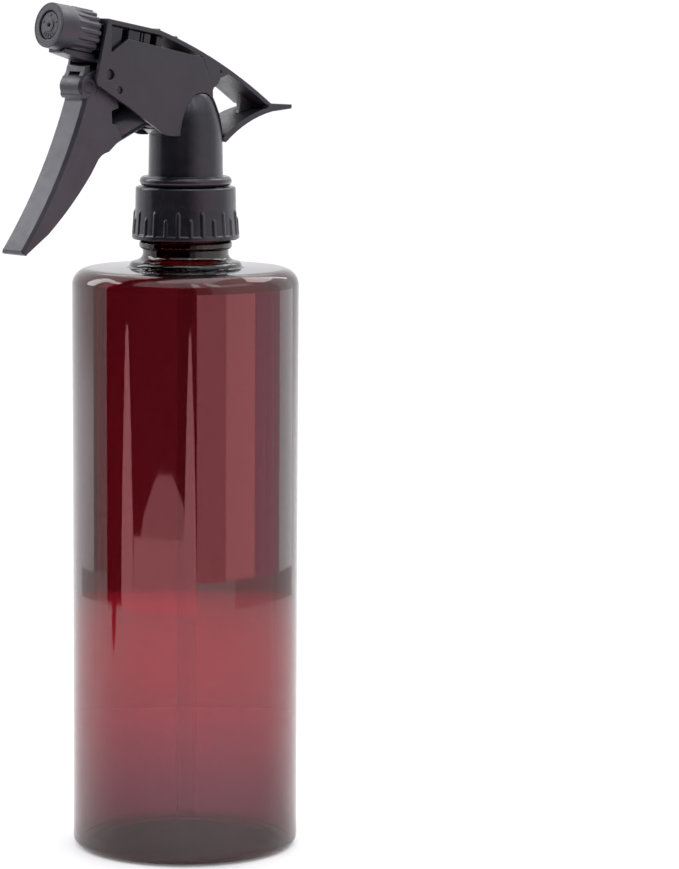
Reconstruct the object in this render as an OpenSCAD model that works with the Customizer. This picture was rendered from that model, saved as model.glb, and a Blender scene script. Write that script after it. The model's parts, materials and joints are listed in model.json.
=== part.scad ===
// Trigger spray bottle: a round bottle, a ribbed screw cap and a trigger pump head.
// Origin at the centre of the base, +Z up the bottle, the nozzle points to -X.

/* [Bottle] */
// Outside diameter of the bottle body
body_d = 66; // [64:0.5:68]
// Height of the shoulder above the base
shoulder_z = 170.5; // [168:0.5:173]
// Wall thickness of the bottle
wall = 0.8; // [0.6:0.1:1]
// Radius of the rounded shoulder edge
shoulder_r = 5; // [3:0.5:7]
// Height of the recess in the base
push_up = 3.5; // [2:0.5:5]

/* [Neck finish] */
// Outside diameter of the neck between the threads
neck_d = 25; // [24.8:0.1:25.1]
// Inside diameter of the mouth
mouth_d = 21.6; // [21.4:0.1:21.8]
// Height of the neck above the shoulder
neck_h = 17.9; // [17.8:0.1:18]
// Outside diameter of the neck thread
neck_thread_d = 27.4; // [27.2:0.1:27.5]
// Rise of the neck thread in one turn
neck_pitch = 4.233; // [4.2:0.011:4.244]
// Diameter of the support ring under the cap
ring_d = 27; // [26.8:0.1:27.4]

/* [Screw cap] */
// Diameter of the cap at its top
cap_top_d = 29; // [28.8:0.1:29.4]
// Diameter of the lip at the bottom of the cap
cap_lip_d = 31.2; // [31:0.1:31.6]
// Number of grip ribs, long and short in turn
cap_ribs = 26; // [24:2:28]
// Height of the cap
cap_h = 15.2; // [15:0.1:15.4]

/* [Column] */
// Diameter of the column at its foot
column_d = 21.7; // [21.4:0.1:21.9]
// Diameter of the rolled bead above the cap
bead_d = 26.7; // [26.4:0.1:27]
// Height of the seam at the top of the straight column
seam_z = 208.3; // [208:0.1:208.6]
// Height of the flat top of the rounded column head
dome_top_z = 221.5; // [221.3:0.1:221.7]

/* [Shroud] */
// Width over the two side plates
head_w = 14.6; // [14.5:0.1:15]
// Thickness of the side plates
plate_t = 1.2; // [1.1:0.05:1.25]
// Thickness of the roof
roof_t = 1.3; // [1.2:0.05:1.35]
// Thickness of the web that stiffens the tail
web_t = 1.6; // [1.2:0.1:2.4]

/* [Nozzle] */
// Upward tilt of the nozzle
nozzle_tilt = 10; // [9.8:0.1:10.2]
// Diameter of the nozzle cap at its face
nozzle_d = 12.8; // [12.6:0.1:12.9]
// Length of the nozzle cap
nozzle_l = 13.9; // [13.7:0.1:13.9]
// Number of grip ribs on the nozzle cap
nozzle_ribs = 18; // [16:1:20]
// Radius of the spray hole
orifice_r = 0.45; // [0.3:0.05:0.6]
// Rise of the nozzle thread in one turn
nozzle_pitch = 2; // [1.9:0.05:2]

/* [Trigger] */
// Width of the trigger
trigger_w = 10; // [9.9:0.05:10.4]
// Thickness of the curved front strip
strip_t = 1.7; // [1.4:0.1:2]
// Radius of the pivot pin
pin_r = 1.45; // [1.4:0.01:1.45]
// Upward slope of the pump barrel
barrel_tilt = 24; // [24:0.1:24.2]

/* [Pump] */
// Radius of the barrel bore
bore_r = 4.8; // [4.78:0.01:4.82]
// Radius of the piston sleeve
piston_r = 4; // [3.9:0.01:4]
// Outside radius of the dip tube
tube_r = 3; // [2.9:0.05:3]
// Inside radius of the dip tube
tube_bore_r = 2.2; // [2:0.1:2.3]
// Radius of the inlet check ball
ball_r = 2.4; // [2.3:0.05:2.4]

/* [Hidden] */
$fn = 96;

black = [0.10, 0.10, 0.115];
dark_grey = [0.17, 0.17, 0.19];
rubber_grey = [0.24, 0.24, 0.25];
natural = [0.86, 0.87, 0.85];
steel = [0.75, 0.76, 0.78];
amber = [0.42, 0.07, 0.09, 0.7];

// Gap left between parts of different bodies that meet without a fit
gap = 0.1;
// Overlap that makes the pieces of one solid merge
merge = 0.3;

body_r = body_d / 2;
neck_r = neck_d / 2;
mouth_r = mouth_d / 2;
rim_z = shoulder_z + neck_h;
ring_z = shoulder_z + 5.5;
ring_h = 2;

gasket_z = rim_z + gap / 2;
gasket_h = 1.5;
flange_z = gasket_z + gasket_h;
flange_h = 1.9;
cap_floor_z = flange_z + flange_h + gap;
cap_top_t = 1.9;
cap_top_z = cap_floor_z + cap_top_t;
cap_bottom_z = cap_top_z - cap_h;
cap_cavity_r = 14.05;
cap_hole_r = 8.8;
thread_low_z = rim_z - 6.6;
thread_turns = 1.25;

bead_r = 1.45;
bead_z = cap_top_z + gap + bead_r;
column_r = column_d / 2;
column_top_r = column_r - 0.2;
shank_r = cap_hole_r - 0.1;
core_r = 7.2;
shank_bottom_z = rim_z - 3.9;
seat_bore_r = 4.5;
seat_top_z = 198;
dome_curve_r = 27.6;
dome_side_z = 219.4;

// The nozzle: face centre, and the distance back from the face of what lies behind it
face = [-50, 240.7];
nozzle_r = nozzle_d / 2;
nozzle_rib_r = nozzle_r + 0.2;
spout_front = 2.4;
face_disc_r = 4.2;
face_recess = 0.35;
tube_front = 15;
tube_back = 36.8;
seat_back = 33;
discharge_r = 2.8;
discharge_bore_r = 1.7;

// The pivot, and the barrel axis that passes at lever below it
pivot = [-33.8, 226.8];
lever = 17.2;
swing = 20;
barrel_foot = pivot + lever * [sin(barrel_tilt), -cos(barrel_tilt)];
rim_s = 12.4;
end_s = 21.5;
barrel_r = bore_r + 0.9;
nose_r = 1.5;
nose_s = -lever * sin(swing / 2);
piston_front_s = nose_s + nose_r + 0.15;
piston_back_s = 13;
seal_h = 1.7;
spring_pocket_r = 2.9;

head_r = head_w / 2;
plate_in = head_r - plate_t;
inner_w = 2 * plate_in - 0.8;
lip_r = 3.6;

// Points from p to q on an arc of radius r, which bulges to the left of the way for r > 0
function bow(p, q, r, n = 10) =
    let (d = q - p, k = sign(r), u = k * [d[1], -d[0]] / norm(d),
        c = (p + q) / 2 + u * sqrt(r * r - d * d / 4),
        mid = atan2(-u[1], -u[0]), half = asin(norm(d) / 2 / abs(r)))
    [for (i = [0:n]) let (a = mid + k * half * (1 - 2 * i / n)) c + abs(r) * [cos(a), sin(a)]];

// The side view drawn in X and Z, thickened from y0 to y1
module slab(y0, y1) {
    translate([0, y1, 0]) rotate([90, 0, 0]) linear_extrude(y1 - y0) children();
}

// A round bar across the head, centred on a point of the side view
module cross_bar(p, width, radius) {
    translate([p[0], 0, p[1]]) rotate([90, 0, 0]) cylinder(h = width, r = radius, center = true);
}

// Local Z runs forwards along the nozzle axis from the centre of its face, and local X is up
module at_nozzle() {
    translate([face[0], 0, face[1]]) rotate([0, nozzle_tilt - 90, 0]) children();
}

// Local Z runs backwards along the barrel axis from the foot of the pivot's lever
module at_barrel() {
    translate([barrel_foot[0], 0, barrel_foot[1]]) rotate([0, 90 - barrel_tilt, 0]) children();
}

module tube(z, h, outer, inner) {
    translate([0, 0, z]) difference() {
        cylinder(h = h, r = outer);
        translate([0, 0, -1]) cylinder(h = h + 2, r = inner);
    }
}

// A helical ridge with root radius r0 and crest radius r1, tapered away at both ends
module thread(r0, r1, pitch, turns, root_w, crest_w) {
    n = ceil(24 * turns);
    lead = 4;
    side = sign(r1 - r0);
    stations = [for (i = [0:n]) let (k = max(0.12, min(1, i / lead, (n - i) / lead)),
        a = 360 * turns * i / n, z = pitch * turns * i / n, r = r0 + k * (r1 - r0))
        for (p = [[r0, -root_w / 2], [r, -crest_w / 2], [r, crest_w / 2], [r0, root_w / 2]])
        [p[0] * cos(a), p[0] * sin(a), z + p[1] * max(k, 0.4)]];
    wall_faces = [for (i = [0:n - 1]) for (j = [0:3]) let (a = 4 * i + j, b = 4 * i + (j + 1) % 4)
        for (f = [[a, b, b + 4], [a, b + 4, a + 4]]) side > 0 ? f : [f[2], f[1], f[0]]];
    e = 4 * n;
    end_faces = [for (f = [[3, 1, 0], [3, 2, 1], [e, e + 1, e + 3], [e + 1, e + 2, e + 3]])
        side > 0 ? f : [f[2], f[1], f[0]]];
    polyhedron(points = stations, faces = concat(wall_faces, end_faces));
}

// A helical spring with closed ends
module coil(radius, wire, height, turns) {
    sides = 8;
    n = turns * 20;
    rise = height - 2 * wire;
    rings = [for (i = [0:n]) let (f = i / n, a = 360 * turns * f,
        eased = min(1, max(0, (f - 0.12) / 0.76)), z = wire + rise * eased)
        for (j = [0:sides - 1]) let (b = 360 * j / sides, r = radius + wire * cos(b))
        [r * cos(a), r * sin(a), z + wire * sin(b)]];
    wall_faces = [for (i = [0:n - 1]) for (j = [0:sides - 1])
        let (a = sides * i + j, b = sides * i + (j + 1) % sides)
        for (f = [[b, a, a + sides], [b, a + sides, b + sides]]) f];
    first = [for (j = [0:sides - 1]) j];
    last = [for (j = [sides - 1:-1:0]) sides * n + j];
    polyhedron(points = rings, faces = concat(wall_faces, [first, last]));
}

// Outline of the outside of the bottle, from the middle of the base to the mouth
function bottle_outside() = concat(
    bow([0, push_up], [body_r - 8, 0.5], 130, 8),
    [[body_r - 6, 0], [body_r - 3, 0]],
    bow([body_r - 1.6, 0.3], [body_r, 2.2], -2.2, 5),
    bow([body_r, shoulder_z - shoulder_r - 0.3], [body_r - shoulder_r, shoulder_z - 0.3], -shoulder_r, 8),
    [[17.4, shoulder_z]],
    bow([16.4, shoulder_z + 0.4], [15.6, shoulder_z + 1.6], -1.4, 4),
    bow([14.6, shoulder_z + 1.9], [neck_r, shoulder_z + 3.6], 2.4, 4),
    [[neck_r, rim_z - 0.4], [neck_r - 0.4, rim_z]]);

module bottle_solid() {
    rotate_extrude() polygon(concat(bottle_outside(), [[0, rim_z]]));
    translate([0, 0, ring_z]) rotate_extrude() translate([neck_r - 1, 0])
        polygon([[0, -0.6], [ring_d / 2 - neck_r + 0.7, 0], [ring_d / 2 - neck_r + 1, 0.4],
            [ring_d / 2 - neck_r + 1, ring_h - 0.4], [ring_d / 2 - neck_r + 0.7, ring_h], [0, ring_h + 0.3]]);
    translate([0, 0, thread_low_z])
        thread(neck_r - 0.5, neck_thread_d / 2, neck_pitch, thread_turns, 2.2, 1);
}

module bottle_hollow() {
    in_r = body_r - wall;
    rotate_extrude() polygon(concat(
        bow([0, push_up + wall], [body_r - 8, 0.5 + wall], 130, 8),
        bow([body_r - 3, wall + 0.1], [in_r, 2.6], -2.4, 5),
        bow([in_r, shoulder_z - shoulder_r - 0.3], [body_r - shoulder_r, shoulder_z - wall - 0.3],
            wall - shoulder_r, 8),
        bow([14.6, shoulder_z - wall], [mouth_r, shoulder_z + 3.6], 4.2, 5),
        [[mouth_r, rim_z + 1], [0, rim_z + 1]]));
}

module bottle() {
    color(amber) difference() {
        bottle_solid();
        bottle_hollow();
    }
}

module cap_shell() {
    slope_h = cap_top_z - 6.4 - cap_bottom_z;
    translate([0, 0, cap_bottom_z]) rotate_extrude() polygon([
        [0, 0], [cap_lip_d / 2, 0], [cap_lip_d / 2, 1.1], [cap_lip_d / 2 - 0.35, 1.5],
        [cap_top_d / 2 + 0.1, slope_h], [cap_top_d / 2, cap_h - 0.6], [cap_top_d / 2 - 0.6, cap_h],
        [0, cap_h]]);
}

// One upright grip rib with a tapered top
module grip_rib(radius, height) {
    cylinder(h = height, r = radius, $fn = 24);
    translate([0, 0, height]) cylinder(h = radius, r1 = radius, r2 = radius * 0.45, $fn = 24);
}

module cap_grips() {
    lean = atan((cap_lip_d - cap_top_d - 0.9) / 2 / 7.8);
    for (i = [0:cap_ribs - 1])
        rotate([0, 0, 360 * i / cap_ribs]) translate([cap_lip_d / 2 - 0.75, 0, cap_bottom_z + 0.6])
            rotate([0, -lean, 0]) grip_rib(0.8, i % 2 == 0 ? 7.6 : 5.6);
}

module screw_cap() {
    color(black) {
        difference() {
            union() {
                cap_shell();
                cap_grips();
            }
            translate([0, 0, cap_bottom_z - 1]) cylinder(h = rim_z - cap_bottom_z + 0.6, r = cap_cavity_r);
            translate([0, 0, rim_z - 1]) cylinder(h = cap_floor_z - rim_z + 1, r = 13);
            translate([0, 0, cap_bottom_z]) cylinder(h = cap_h + 1, r = cap_hole_r);
        }
        translate([0, 0, thread_low_z - neck_pitch / 2 + 0.5]) rotate([0, 0, 40])
            thread(cap_cavity_r + 0.25, neck_thread_d / 2 - 0.55, neck_pitch, thread_turns, 1.6, 0.8);
    }
}

module gasket() {
    color(rubber_grey) tube(gasket_z, gasket_h - gap / 2, 12.3, 9.9);
}

module shank_retainer() {
    flange_base = flange_z + gap / 2;
    color(black) difference() {
        union() {
            translate([0, 0, flange_base]) cylinder(h = flange_h - gap / 2, r = 12.3);
            translate([0, 0, shank_bottom_z]) cylinder(h = flange_base - shank_bottom_z + merge, r = 9.6);
            translate([0, 0, shank_bottom_z - 0.8]) cylinder(h = 0.9, r1 = 8.9, r2 = 9.6);
        }
        translate([0, 0, shank_bottom_z - 1]) cylinder(h = 12, r = core_r);
        translate([0, 20, shank_bottom_z + 1.4]) rotate([90, 0, 0]) cylinder(h = 12.6, r = 0.6);
    }
}

module vent_seal() {
    color(rubber_grey) tube(shank_bottom_z - 0.6, 1.4, core_r - 0.02, 5.7);
}

function dome_outline() = concat(
    bow([column_top_r, seam_z], [column_top_r - 2.7, dome_side_z], -dome_curve_r, 8),
    bow([column_top_r - 3.1, dome_side_z + 0.8], [column_top_r - 4.8, dome_top_z], -2.6, 4),
    [[0, dome_top_z]]);

module column() {
    translate([0, 0, cap_top_z + gap]) cylinder(h = bead_r * 2, r = column_r + 0.3);
    translate([0, 0, bead_z]) rotate_extrude() translate([bead_d / 2 - bead_r, 0]) circle(bead_r, $fn = 32);
    translate([0, 0, bead_z]) cylinder(h = seam_z - bead_z, r1 = column_r, r2 = column_top_r);
    rotate_extrude() polygon(concat(
        [[0, seam_z - 1], [column_top_r - 0.35, seam_z - 1], [column_top_r - 0.35, seam_z]], dome_outline()));
    translate([0, 0, cap_floor_z - gap]) cylinder(h = cap_top_t + 2, r = shank_r);
    translate([0, 0, shank_bottom_z + 0.9]) cylinder(h = cap_floor_z - shank_bottom_z, r = core_r - 0.02);
    translate([0, 0, shank_bottom_z - 0.6]) cylinder(h = 3, r = 5.68);
}

// The barrel, and the riser from its closed end up to the discharge tube
module barrel_walls() {
    at_barrel() {
        translate([0, 0, rim_s]) cylinder(h = end_s + 1.3 - rim_s, r = barrel_r);
        translate([0, 0, 19.6]) rotate([0, -90, 0]) cylinder(h = 15.4, r = 2.3);
    }
    slab(-inner_w / 2, inner_w / 2)
        polygon([[-12, 216.5], [-13.1, 210.6], [-9, 208.9], [-4, 209], [-4, 214], [4.5, 214],
            [4.5, dome_top_z], [-1, 224.2], [-9.5, 225]]);
}

// The discharge tube, and the saddle blocks that steady it between the side plates
module discharge_walls() {
    at_nozzle() {
        translate([0, 0, -tube_back]) cylinder(h = tube_back - tube_front, r = discharge_r);
        for (b = [[17, 21.9], [24.2, 28.4], [28.9, 29.5], [30, 32.3], [34.6, 36.8]])
            translate([-4.4, -inner_w / 2, -b[1]]) cube([4.4 + discharge_r, inner_w, b[1] - b[0]]);
        translate([-3.9, -inner_w / 2 + 0.8, -33]) cube([2.4, inner_w - 1.6, 15]);
    }
}

module fluid_ways() {
    translate([0, 0, shank_bottom_z - 1]) cylinder(h = seat_top_z - shank_bottom_z + 1, r = seat_bore_r);
    translate([0, 0, seat_top_z - 1]) cylinder(h = 3.9, r = 2.9);
    translate([0, 0, seat_top_z + 2]) cylinder(h = 21, r = 1.4);
    translate([0, 0, 218.6]) rotate([0, -90, 0]) cylinder(h = 9, r = 1.1);
    at_barrel() {
        translate([0, 0, rim_s - 1]) cylinder(h = end_s + 1 - rim_s, r = bore_r);
        translate([0, 0, 19.6]) rotate([0, -90, 0]) cylinder(h = 16, r = 1);
    }
    at_nozzle() {
        translate([0, 0, -seat_back]) cylinder(h = seat_back, r = discharge_bore_r);
        translate([0, 0, 0.8 - tube_back]) cylinder(h = 5, r = 1);
    }
}

module pump_body() {
    color(black) difference() {
        union() {
            column();
            barrel_walls();
            discharge_walls();
        }
        fluid_ways();
    }
}

roof_front = [-34.4, 242.5];
roof_kink = [-15.3, 239];
roof_end = [26.6, 217.3];
tail_tip = [34.6, 216.9];
tail_root = [9.2, 206.5];
roof_curve_r = 161;

module roof_outline() {
    rise = [sin(nozzle_tilt), cos(nozzle_tilt)];
    polygon(concat([roof_front], bow(roof_kink, roof_end, roof_curve_r, 14),
        [tail_tip, tail_tip - [0.2, 0.9]],
        bow([24.6, 217.1], roof_kink - roof_t * [0.25, 0.97], -(roof_curve_r - roof_t), 14),
        [roof_front - roof_t * rise]));
}

// The lower plate of the tail, from the tip in to the column
module tail_outline() {
    polygon(concat([tail_tip], [tail_tip - [0.1, 1.2]], bow([27, 215], tail_root, -39, 8),
        bow(tail_root + [-1.4, 1], [25.6, 216.2], 37, 8), [[25.4, 217.4]]));
}

module web_outline() {
    polygon(concat([[20.6, 213]], bow([19.6, 214.4], [20.4, 220.6], -18, 6),
        [[22.4, 219.2], [33, 216.6], [26, 215.2]]));
}

// Outline of a side plate under the roof, with the slot along the roof left open
module plate_outline() {
    polygon(concat([roof_front - [0.1, 0.6], [-38.7, 225.1]], bow([-38.3, 224.2], [-37.3, 223.5], -1, 3),
        [[-16.8, 211.3]], bow([-15.1, 210.3], [-10.4, 208.8], -7, 4),
        [[4.2, 208.8], [4.2, 221.6]], bow([4.5, 222.3], [7, 225], -4.5, 4), [[10.4, 226.3]],
        bow([12, 225.6], [1.8, 231.2], -158, 4),
        [[0.6, 231.1], [-17.4, 234.7], [-27.2, 236.7], [-33.3, 232.9], [-33.1, 241.8]]));
}

// The floor plate that joins the side plates in front of the pivot
module floor_outline() {
    polygon([[-36.9, 231.2], [-33, 230.5], [-33, 229.5], [-37.2, 230.2]]);
}

// The drip lip that runs forward from the floor plate and cradles the nozzle
module drip_lip() {
    difference() {
        slab(-lip_r, lip_r)
            polygon([[-36.5, 232.4], [-47.2, 234.6], [-47.2, 232.95], [-40.5, 230.95], [-36.5, 230.1]]);
        at_nozzle() translate([0, 0, -20]) cylinder(h = 24, r = nozzle_rib_r + 0.3);
    }
}

module shroud() {
    color(dark_grey) difference() {
        union() {
            slab(-head_r, head_r) roof_outline();
            slab(-head_r, head_r) tail_outline();
            slab(-web_t / 2, web_t / 2) web_outline();
            for (y = [-head_r, plate_in]) slab(y, y + plate_t) plate_outline();
            slab(-plate_in - merge, plate_in + merge) floor_outline();
            drip_lip();
            for (p = [[-15.7, 238.8], [-9.3, 236.6]])
                cross_bar(p, head_w - 1, 0.7);
        }
        rotate_extrude() polygon(concat(
            [[0, seam_z - 6], [column_r + 0.1, seam_z - 6], [column_top_r + 0.15, seam_z]],
            [for (p = dome_outline()) p + [0.15, p[1] > dome_side_z ? 0.2 : 0]]));
        cross_bar(pivot, 30, pin_r + 0.05);
        for (s = [-1, 1])
            translate([0, s * head_r, 0]) {
                cross_bar([-30.4, 222.3], 1.7, 1.1);
                cross_bar([7.1, 226.9], 0.8, 0.5);
            }
        at_nozzle() translate([0, 0, 0.3 - tube_back]) cylinder(h = 21.6, r = discharge_r + 0.1);
    }
}

module pivot_pin() {
    color(black) cross_bar(pivot, head_w - 1.9, pin_r);
}

roll = [-39.4, 223.4];
roll_r = 3.5;
flank_r = trigger_w / 2 - 0.25;
flank_t = 0.65;
tab_r = 4.3;
tab_slot_w = 4.8;
strip_top = [-41.2, 219.5];
strip_tip = [-63.3, 178.2];
strip_curve_r = 150;
strip_root = strip_top + [0.3, 0.6];

// Width of the bevel along the front edges of the trigger
edge_t = 0.8;

// Side view of the trigger's flanks, from the pivot boss to the tip
module flank_outline() {
    polygon(concat(bow(strip_top, strip_tip, strip_curve_r, 12), [[-62.2, 176.9]],
        bow([-54, 182.4], [-38.8, 198.6], -110, 6), bow([-36.8, 201.6], [-32.2, 204.9], 6, 4),
        [[-27.5, 208.7], [-29.1, 212.4], [-31, 212.9], [-31.2, 216.4], [-28.6, 217.2], [-30.4, 224.4],
            pivot + [1.8, 1.6], pivot + [-1.4, 2], [-41.5, 226.2], [-42.3, 221]]));
    translate(pivot) circle(2.5);
}

// Side view of the curved front strip
module strip_outline() {
    polygon(concat(bow(strip_root, strip_tip, strip_curve_r, 14), [[-62.9, 177.2], [-62, 176.8]],
        bow([-60.9, 178.2], strip_root + [strip_t - 0.1, 0.3], -strip_curve_r + 2, 14)));
}

// What is cut away to bevel the two long front edges of the trigger
module front_bevels() {
    half_w = trigger_w / 2;
    across = strip_tip - strip_root;
    curve_centre = (strip_root + strip_tip) / 2
        + [across[1], -across[0]] / norm(across) * sqrt(pow(strip_curve_r, 2) - across * across / 4);
    intersection() {
        for (side = [0, 1])
            translate([curve_centre[0], 0, curve_centre[1]]) rotate([90, 0, 0]) mirror([0, 0, side])
                rotate_extrude($fn = 240) translate([strip_curve_r, half_w])
                    polygon([[-1, -edge_t - 1], [edge_t + 1, 1], [-1, 1]]);
        translate([-70, -10, 170]) cube([35, 20, strip_root[1] - 170]);
    }
}

// The rolled top of the strip, with bevelled ends
module roll_ring() {
    half_w = trigger_w / 2;
    translate([roll[0], 0, roll[1]]) rotate([90, 0, 0]) rotate_extrude() polygon([
        [roll_r - strip_t, -half_w], [roll_r - edge_t, -half_w], [roll_r, edge_t - half_w],
        [roll_r, half_w - edge_t], [roll_r - edge_t, half_w], [roll_r - strip_t, half_w]]);
}

// The stop tab above the roll, with a slot through its foot
module tab() {
    difference() {
        slab(-tab_r, tab_r)
            polygon([[-41.6, 225.4], [-40.6, 227.6], [-40.2, 229.2], [-38.7, 229.4], [-38.6, 226.6],
                [-39.2, 225.2]]);
        translate([-43, -tab_slot_w / 2, 226.3]) cube([6, tab_slot_w, 1.2]);
    }
}

module trigger_hollow() {
    w = flank_r - flank_t;
    slab(-w, w) polygon(concat(bow(strip_top + [strip_t, 1], strip_tip + [4.4, 5.6], strip_curve_r, 12),
        [[-40, 186], [-20, 206], [-20, 222], pivot + [12, 8], pivot + [-2.5, 8], roll + [2.2, 3],
            roll + [2.2, -2]]));
}

module trigger() {
    color(dark_grey) difference() {
        union() {
            difference() {
                union() {
                    difference() {
                        slab(-flank_r, flank_r) flank_outline();
                        trigger_hollow();
                    }
                    slab(-trigger_w / 2, trigger_w / 2) strip_outline();
                }
                front_bevels();
            }
            roll_ring();
            tab();
            at_barrel() translate([lever * (cos(swing / 2) - 1), 0, nose_s]) rotate([90, 0, 0])
                cylinder(h = 2 * flank_r - 0.4, r = nose_r, center = true);
            at_barrel() translate([-1.1, -0.8, nose_s - 16.4]) cube([2.2, 1.6, 16.4]);
        }
        cross_bar(pivot, 30, pin_r + 0.05);
    }
}

module piston() {
    color(dark_grey) at_barrel() difference() {
        union() {
            translate([0, 0, piston_front_s]) cylinder(h = piston_back_s - piston_front_s, r = piston_r);
            translate([0, 0, piston_back_s - 0.2]) cylinder(h = seal_h + 0.3, r = 3.7);
            translate([0, 0, piston_back_s + seal_h + 0.05]) cylinder(h = 0.5, r = 4.1);
        }
        translate([0, 0, piston_front_s + 5]) cylinder(h = 20, r = spring_pocket_r);
    }
}

module piston_seal() {
    color(rubber_grey) at_barrel() difference() {
        union() {
            translate([0, 0, piston_back_s + 0.03]) cylinder(h = seal_h - 0.06, r = 4.4);
            for (s = [0.1, seal_h - 0.5])
                translate([0, 0, piston_back_s + s]) cylinder(h = 0.4, r = bore_r - 0.03);
        }
        translate([0, 0, piston_back_s - 1]) cylinder(h = 6, r = 3.72);
    }
}

module return_spring() {
    color(steel) at_barrel() translate([0, 0, piston_front_s + 5.05])
        coil(spring_pocket_r - 0.55, 0.4, end_s - piston_front_s - 5.1, 8);
}

module inlet_valve_seat() {
    color(natural) difference() {
        translate([0, 0, shank_bottom_z - 2])
            cylinder(h = seat_top_z - shank_bottom_z + 1.9, r = seat_bore_r - 0.02);
        translate([0, 0, shank_bottom_z - 3]) cylinder(h = 9, r = tube_r + 0.02);
        translate([0, 0, shank_bottom_z]) cylinder(h = 20, r = 1.5);
        translate([0, 0, seat_top_z - 2.4]) cylinder(h = 1.6, r1 = 1.5, r2 = 2.9);
        translate([0, 0, seat_top_z - 0.81]) cylinder(h = 2, r = 2.9);
    }
}

module inlet_ball() {
    color(steel) translate([0, 0, seat_top_z - 0.35]) sphere(ball_r);
}

module dip_tube() {
    top = shank_bottom_z + 5.95;
    color(natural) difference() {
        tube(8, top - 8, tube_r, tube_bore_r);
        translate([0, 0, 8]) rotate([0, 35, 0]) translate([-10, -10, -10]) cube([20, 20, 10]);
    }
}

module outlet_valve() {
    color(natural) at_nozzle() {
        translate([0, 0, 0.05 - seat_back]) cylinder(h = 0.9, r = 1.5, $fn = 48);
        translate([0, 0, 0.9 - seat_back]) cylinder(h = 2.2, r = 0.65, $fn = 48);
        translate([0, 0, -0.8 - seat_back]) cylinder(h = 0.9, r1 = 0.3, r2 = 0.85, $fn = 48);
    }
}

module outlet_spring() {
    color(steel) at_nozzle() translate([0, 0, 1 - seat_back]) coil(1.12, 0.2, 5, 6);
}

module spout() {
    color(black) at_nozzle() difference() {
        union() {
            translate([0, 0, -13.6]) cylinder(h = 13.6 - spout_front, r = 3.9);
            translate([0, 0, 0.1 - tube_front]) cylinder(h = 1.4, r = 4.3);
            translate([0, 0, 6.1 - seat_back]) cylinder(h = seat_back - 19.7, r = discharge_bore_r - 0.02);
            translate([0, 0, -11.6]) thread(3.5, 4.4, nozzle_pitch, 2, 0.9, 0.5);
        }
        translate([0, 0, 1 - seat_back]) cylinder(h = seat_back, r = 1);
        translate([0, 0, -5.6]) cylinder(h = 6, r = 2.4);
    }
}

module swirl_insert() {
    color(natural) at_nozzle() difference() {
        translate([0, 0, -5.55]) cylinder(h = 3.25, r = 2.38);
        translate([0, 0, -5.6]) cylinder(h = 2.2, r = 1.5);
        translate([0, 0, -2.7]) cylinder(h = 1, r = 0.9);
        for (a = [0:120:240])
            rotate([0, 0, a]) translate([0.5, -0.25, -2.7]) cube([3, 0.5, 1]);
        for (a = [0:120:240])
            rotate([0, 0, a]) translate([1.95, 0, -6]) cylinder(h = 5, r = 0.25, $fn = 24);
    }
}

module nozzle_seal() {
    color(rubber_grey) at_nozzle() translate([0, 0, -4.6]) rotate_extrude()
        translate([4.4, 0]) circle(0.44, $fn = 32);
}

// Raised marks on the nozzle face: a row of ticks, two dots and an arrow head
module face_marks() {
    mark_h = 0.25;
    translate([0, 0, -face_recess - 0.05]) {
        for (a = [-40:20:40])
            rotate([0, 0, 180 + a]) translate([2.3, -0.13, 0]) cube([1.1, 0.26, mark_h]);
        for (a = [-70, 70])
            rotate([0, 0, a]) translate([2.9, 0, 0]) cylinder(h = mark_h, r = 0.3, $fn = 24);
        translate([2.9, 0, 0]) linear_extrude(mark_h) polygon([[0.5, 0], [-0.4, 0.5], [-0.4, -0.5]]);
    }
}

module nozzle_cap() {
    grip_base_r = nozzle_r - 0.45;
    color(dark_grey) at_nozzle() difference() {
        union() {
            difference() {
                rotate_extrude() polygon([[0, 0], [nozzle_r - 0.2, 0], [nozzle_r, -0.2],
                    [nozzle_r + 0.1, -5.5], [grip_base_r, -10.5], [grip_base_r, -nozzle_l + 0.3],
                    [grip_base_r - 0.2, -nozzle_l], [0, -nozzle_l]]);
                translate([0, 0, -face_recess]) cylinder(h = 1, r = face_disc_r);
                tube(-face_recess - 0.5, 1, face_disc_r, face_disc_r - 0.35);
                translate([0, 0, -nozzle_l - 1]) cylinder(h = nozzle_l - 0.9, r = 4.75);
            }
            for (i = [0:nozzle_ribs - 1])
                rotate([0, 0, 360 * (i + 0.5) / nozzle_ribs])
                    translate([nozzle_rib_r - 0.75, 0, -nozzle_l + 0.1]) grip_rib(0.75, 7.4);
            translate([0, 0, -2]) cylinder(h = 1.9, r = 1.9);
            translate([0, 0, nozzle_pitch / 2 - 11.5]) rotate([0, 0, 20])
                thread(5, 4.15, nozzle_pitch, 1.6, 0.8, 0.45);
            face_marks();
        }
        translate([0, 0, -2.3]) cylinder(h = 4, r = orifice_r, $fn = 32);
        tube(-5.15, 1.1, 4.9, 4.5);
    }
}

bottle();
screw_cap();
gasket();
shank_retainer();
vent_seal();
pump_body();
shroud();
pivot_pin();
trigger();
piston();
piston_seal();
return_spring();
inlet_valve_seat();
inlet_ball();
dip_tube();
outlet_valve();
outlet_spring();
spout();
swirl_insert();
nozzle_seal();
nozzle_cap();
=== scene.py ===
"""The looks of a trigger spray bottle: tinted clear bottle, black ribbed cap and black pump head."""

import json
import math

import bmesh
import bpy
from mathutils import Matrix, Vector
from mathutils.bvhtree import BVHTree


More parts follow.
